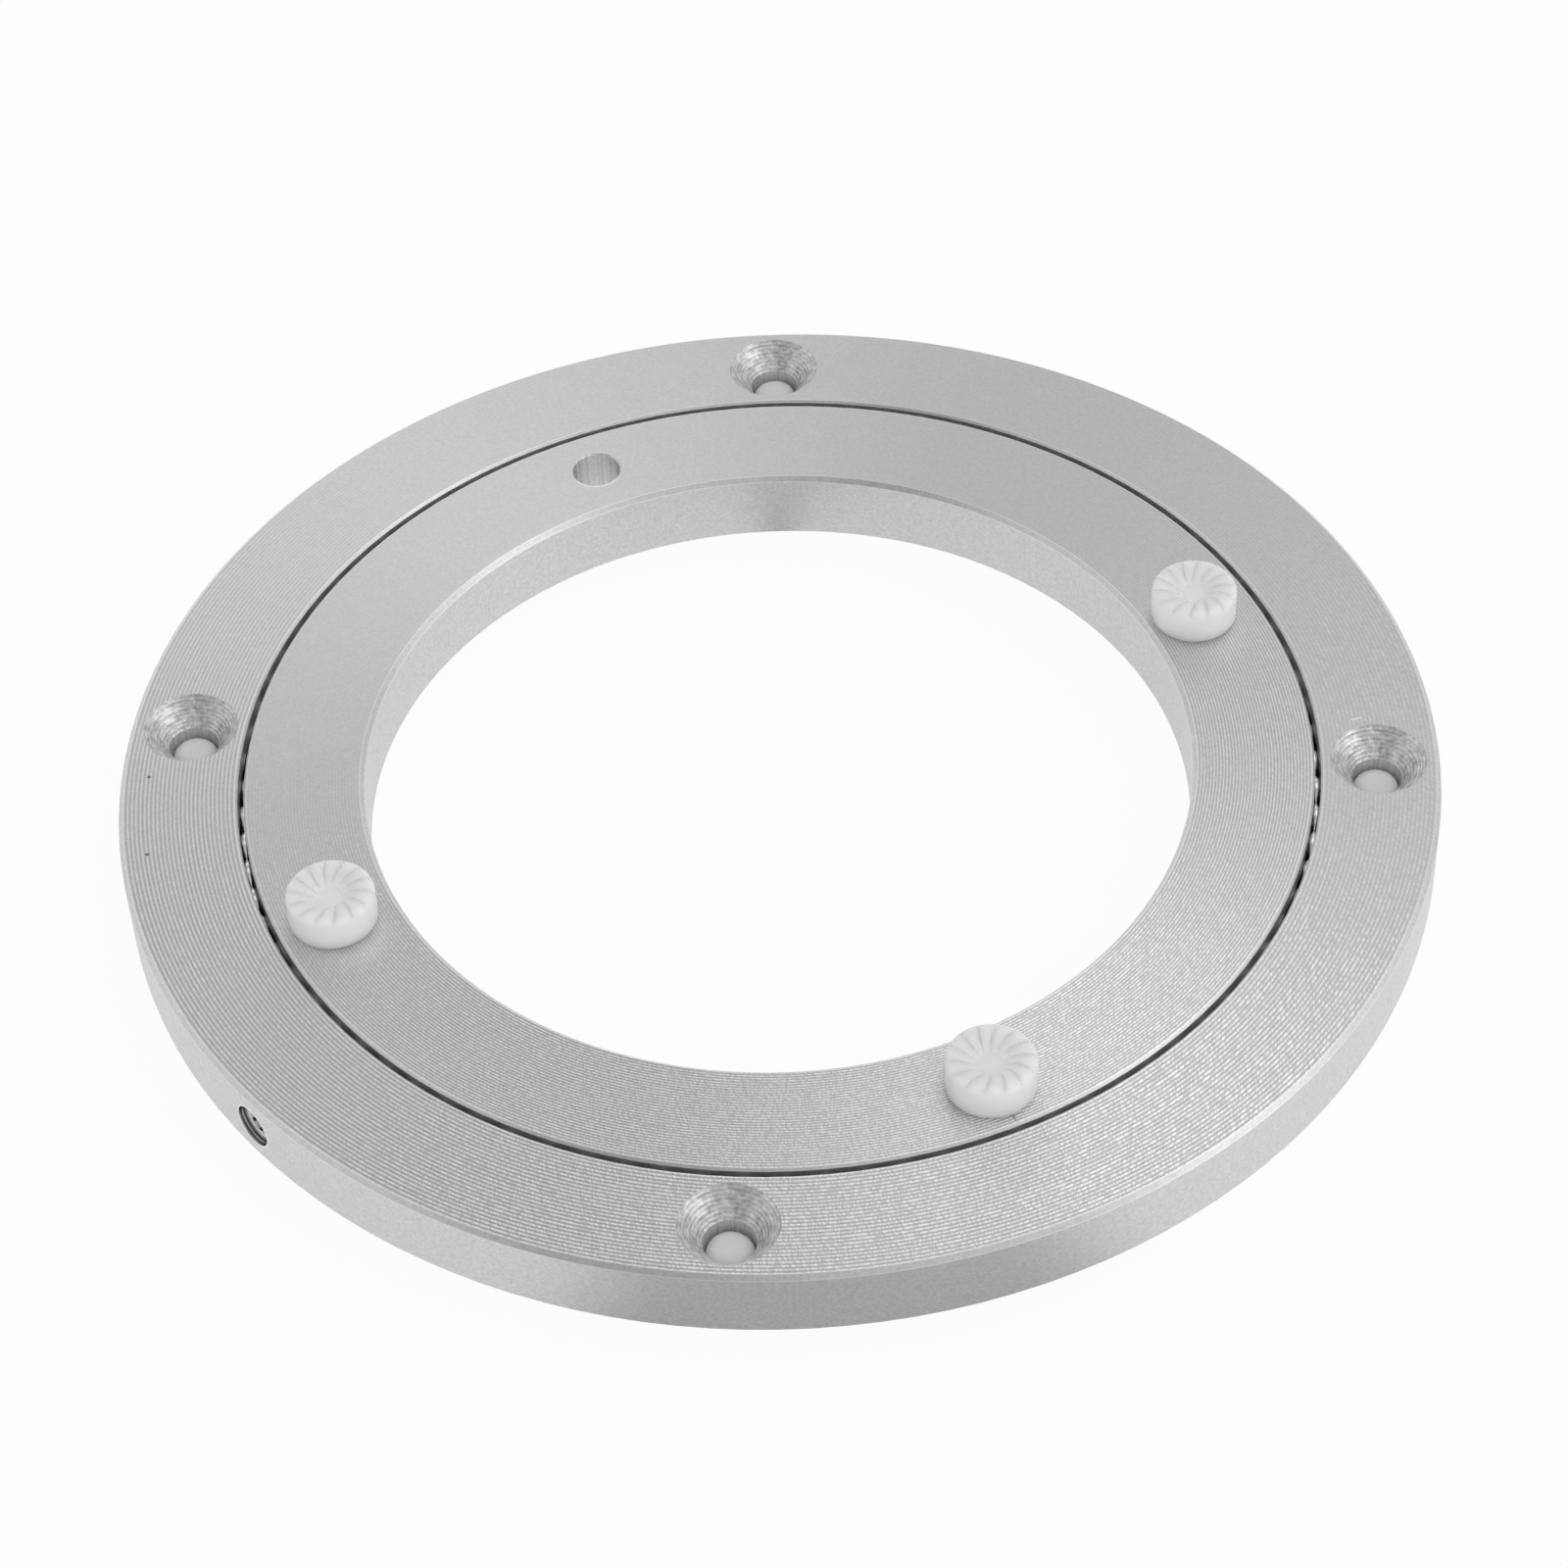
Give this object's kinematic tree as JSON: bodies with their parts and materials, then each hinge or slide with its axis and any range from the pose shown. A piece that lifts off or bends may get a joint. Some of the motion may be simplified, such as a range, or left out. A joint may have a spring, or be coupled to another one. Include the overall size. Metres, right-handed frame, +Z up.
{
  "type": "lazy susan bearing",
  "caption": "Flat lazy susan bearing: an aluminium ring turns on steel balls inside a standing outer ring, with feet below and pads above that carry a turntable top.",
  "frame": {"origin": "on the bearing's axis, level with the soles of the feet", "axes": "+Z up along the axis; the picture looks along +Y, with +X to its right"},
  "size_m": [0.14, 0.14, 0.0147],
  "materials": {
    "aluminium": "turned, with fine concentric tool marks",
    "plug_steel": "plain bright steel",
    "white_plastic": "moulded, slightly translucent",
    "ball_steel": "polished"
  },
  "bodies": {
    "base": {"outer_ring": "aluminium", "loading_plug": "plug_steel", "foot_right": "white_plastic", "foot_back": "white_plastic", "foot_left": "white_plastic", "foot_front": "white_plastic"},
    "turning_ring": {"inner_ring": "aluminium", "top_pad_right": "white_plastic", "top_pad_left": "white_plastic", "top_pad_front": "white_plastic"},
    "ball_set": {"ball_pair_01": "ball_steel", "ball_pair_02": "ball_steel", "ball_pair_03": "ball_steel", "ball_pair_04": "ball_steel", "ball_pair_05": "ball_steel", "ball_pair_06": "ball_steel", "ball_pair_07": "ball_steel", "ball_pair_08": "ball_steel", "ball_pair_09": "ball_steel", "ball_pair_10": "ball_steel", "ball_pair_11": "ball_steel", "ball_pair_12": "ball_steel", "ball_pair_13": "ball_steel", "ball_pair_14": "ball_steel", "ball_pair_15": "ball_steel", "ball_pair_16": "ball_steel", "ball_pair_17": "ball_steel", "ball_pair_18": "ball_steel", "ball_pair_19": "ball_steel", "ball_pair_20": "ball_steel", "ball_pair_21": "ball_steel", "ball_pair_22": "ball_steel", "ball_pair_23": "ball_steel", "ball_pair_24": "ball_steel", "ball_pair_25": "ball_steel", "ball_pair_26": "ball_steel", "ball_pair_27": "ball_steel", "ball_pair_28": "ball_steel", "ball_pair_29": "ball_steel", "ball_pair_30": "ball_steel", "ball_pair_31": "ball_steel", "ball_pair_32": "ball_steel", "ball_pair_33": "ball_steel", "ball_pair_34": "ball_steel", "ball_pair_35": "ball_steel", "ball_pair_36": "ball_steel", "ball_pair_37": "ball_steel", "ball_pair_38": "ball_steel", "ball_pair_39": "ball_steel", "ball_pair_40": "ball_steel", "ball_pair_41": "ball_steel", "ball_pair_42": "ball_steel", "ball_pair_43": "ball_steel", "ball_pair_44": "ball_steel"}
  },
  "joints": [
    {"name": "ring_turn", "type": "hinge", "parent": "base", "child": "turning_ring", "pos_m": [0, 0, 0.00625], "axis": [0, 0, 1], "continuous": true},
    {"name": "balls_roll_round", "type": "hinge", "parent": "base", "child": "ball_set", "pos_m": [0, 0, 0.00625], "axis": [0, 0, 1], "continuous": true}
  ],
  "couplings": [
    {"joint": "balls_roll_round", "follows": "ring_turn", "ratio": 0.4825}
  ]
}
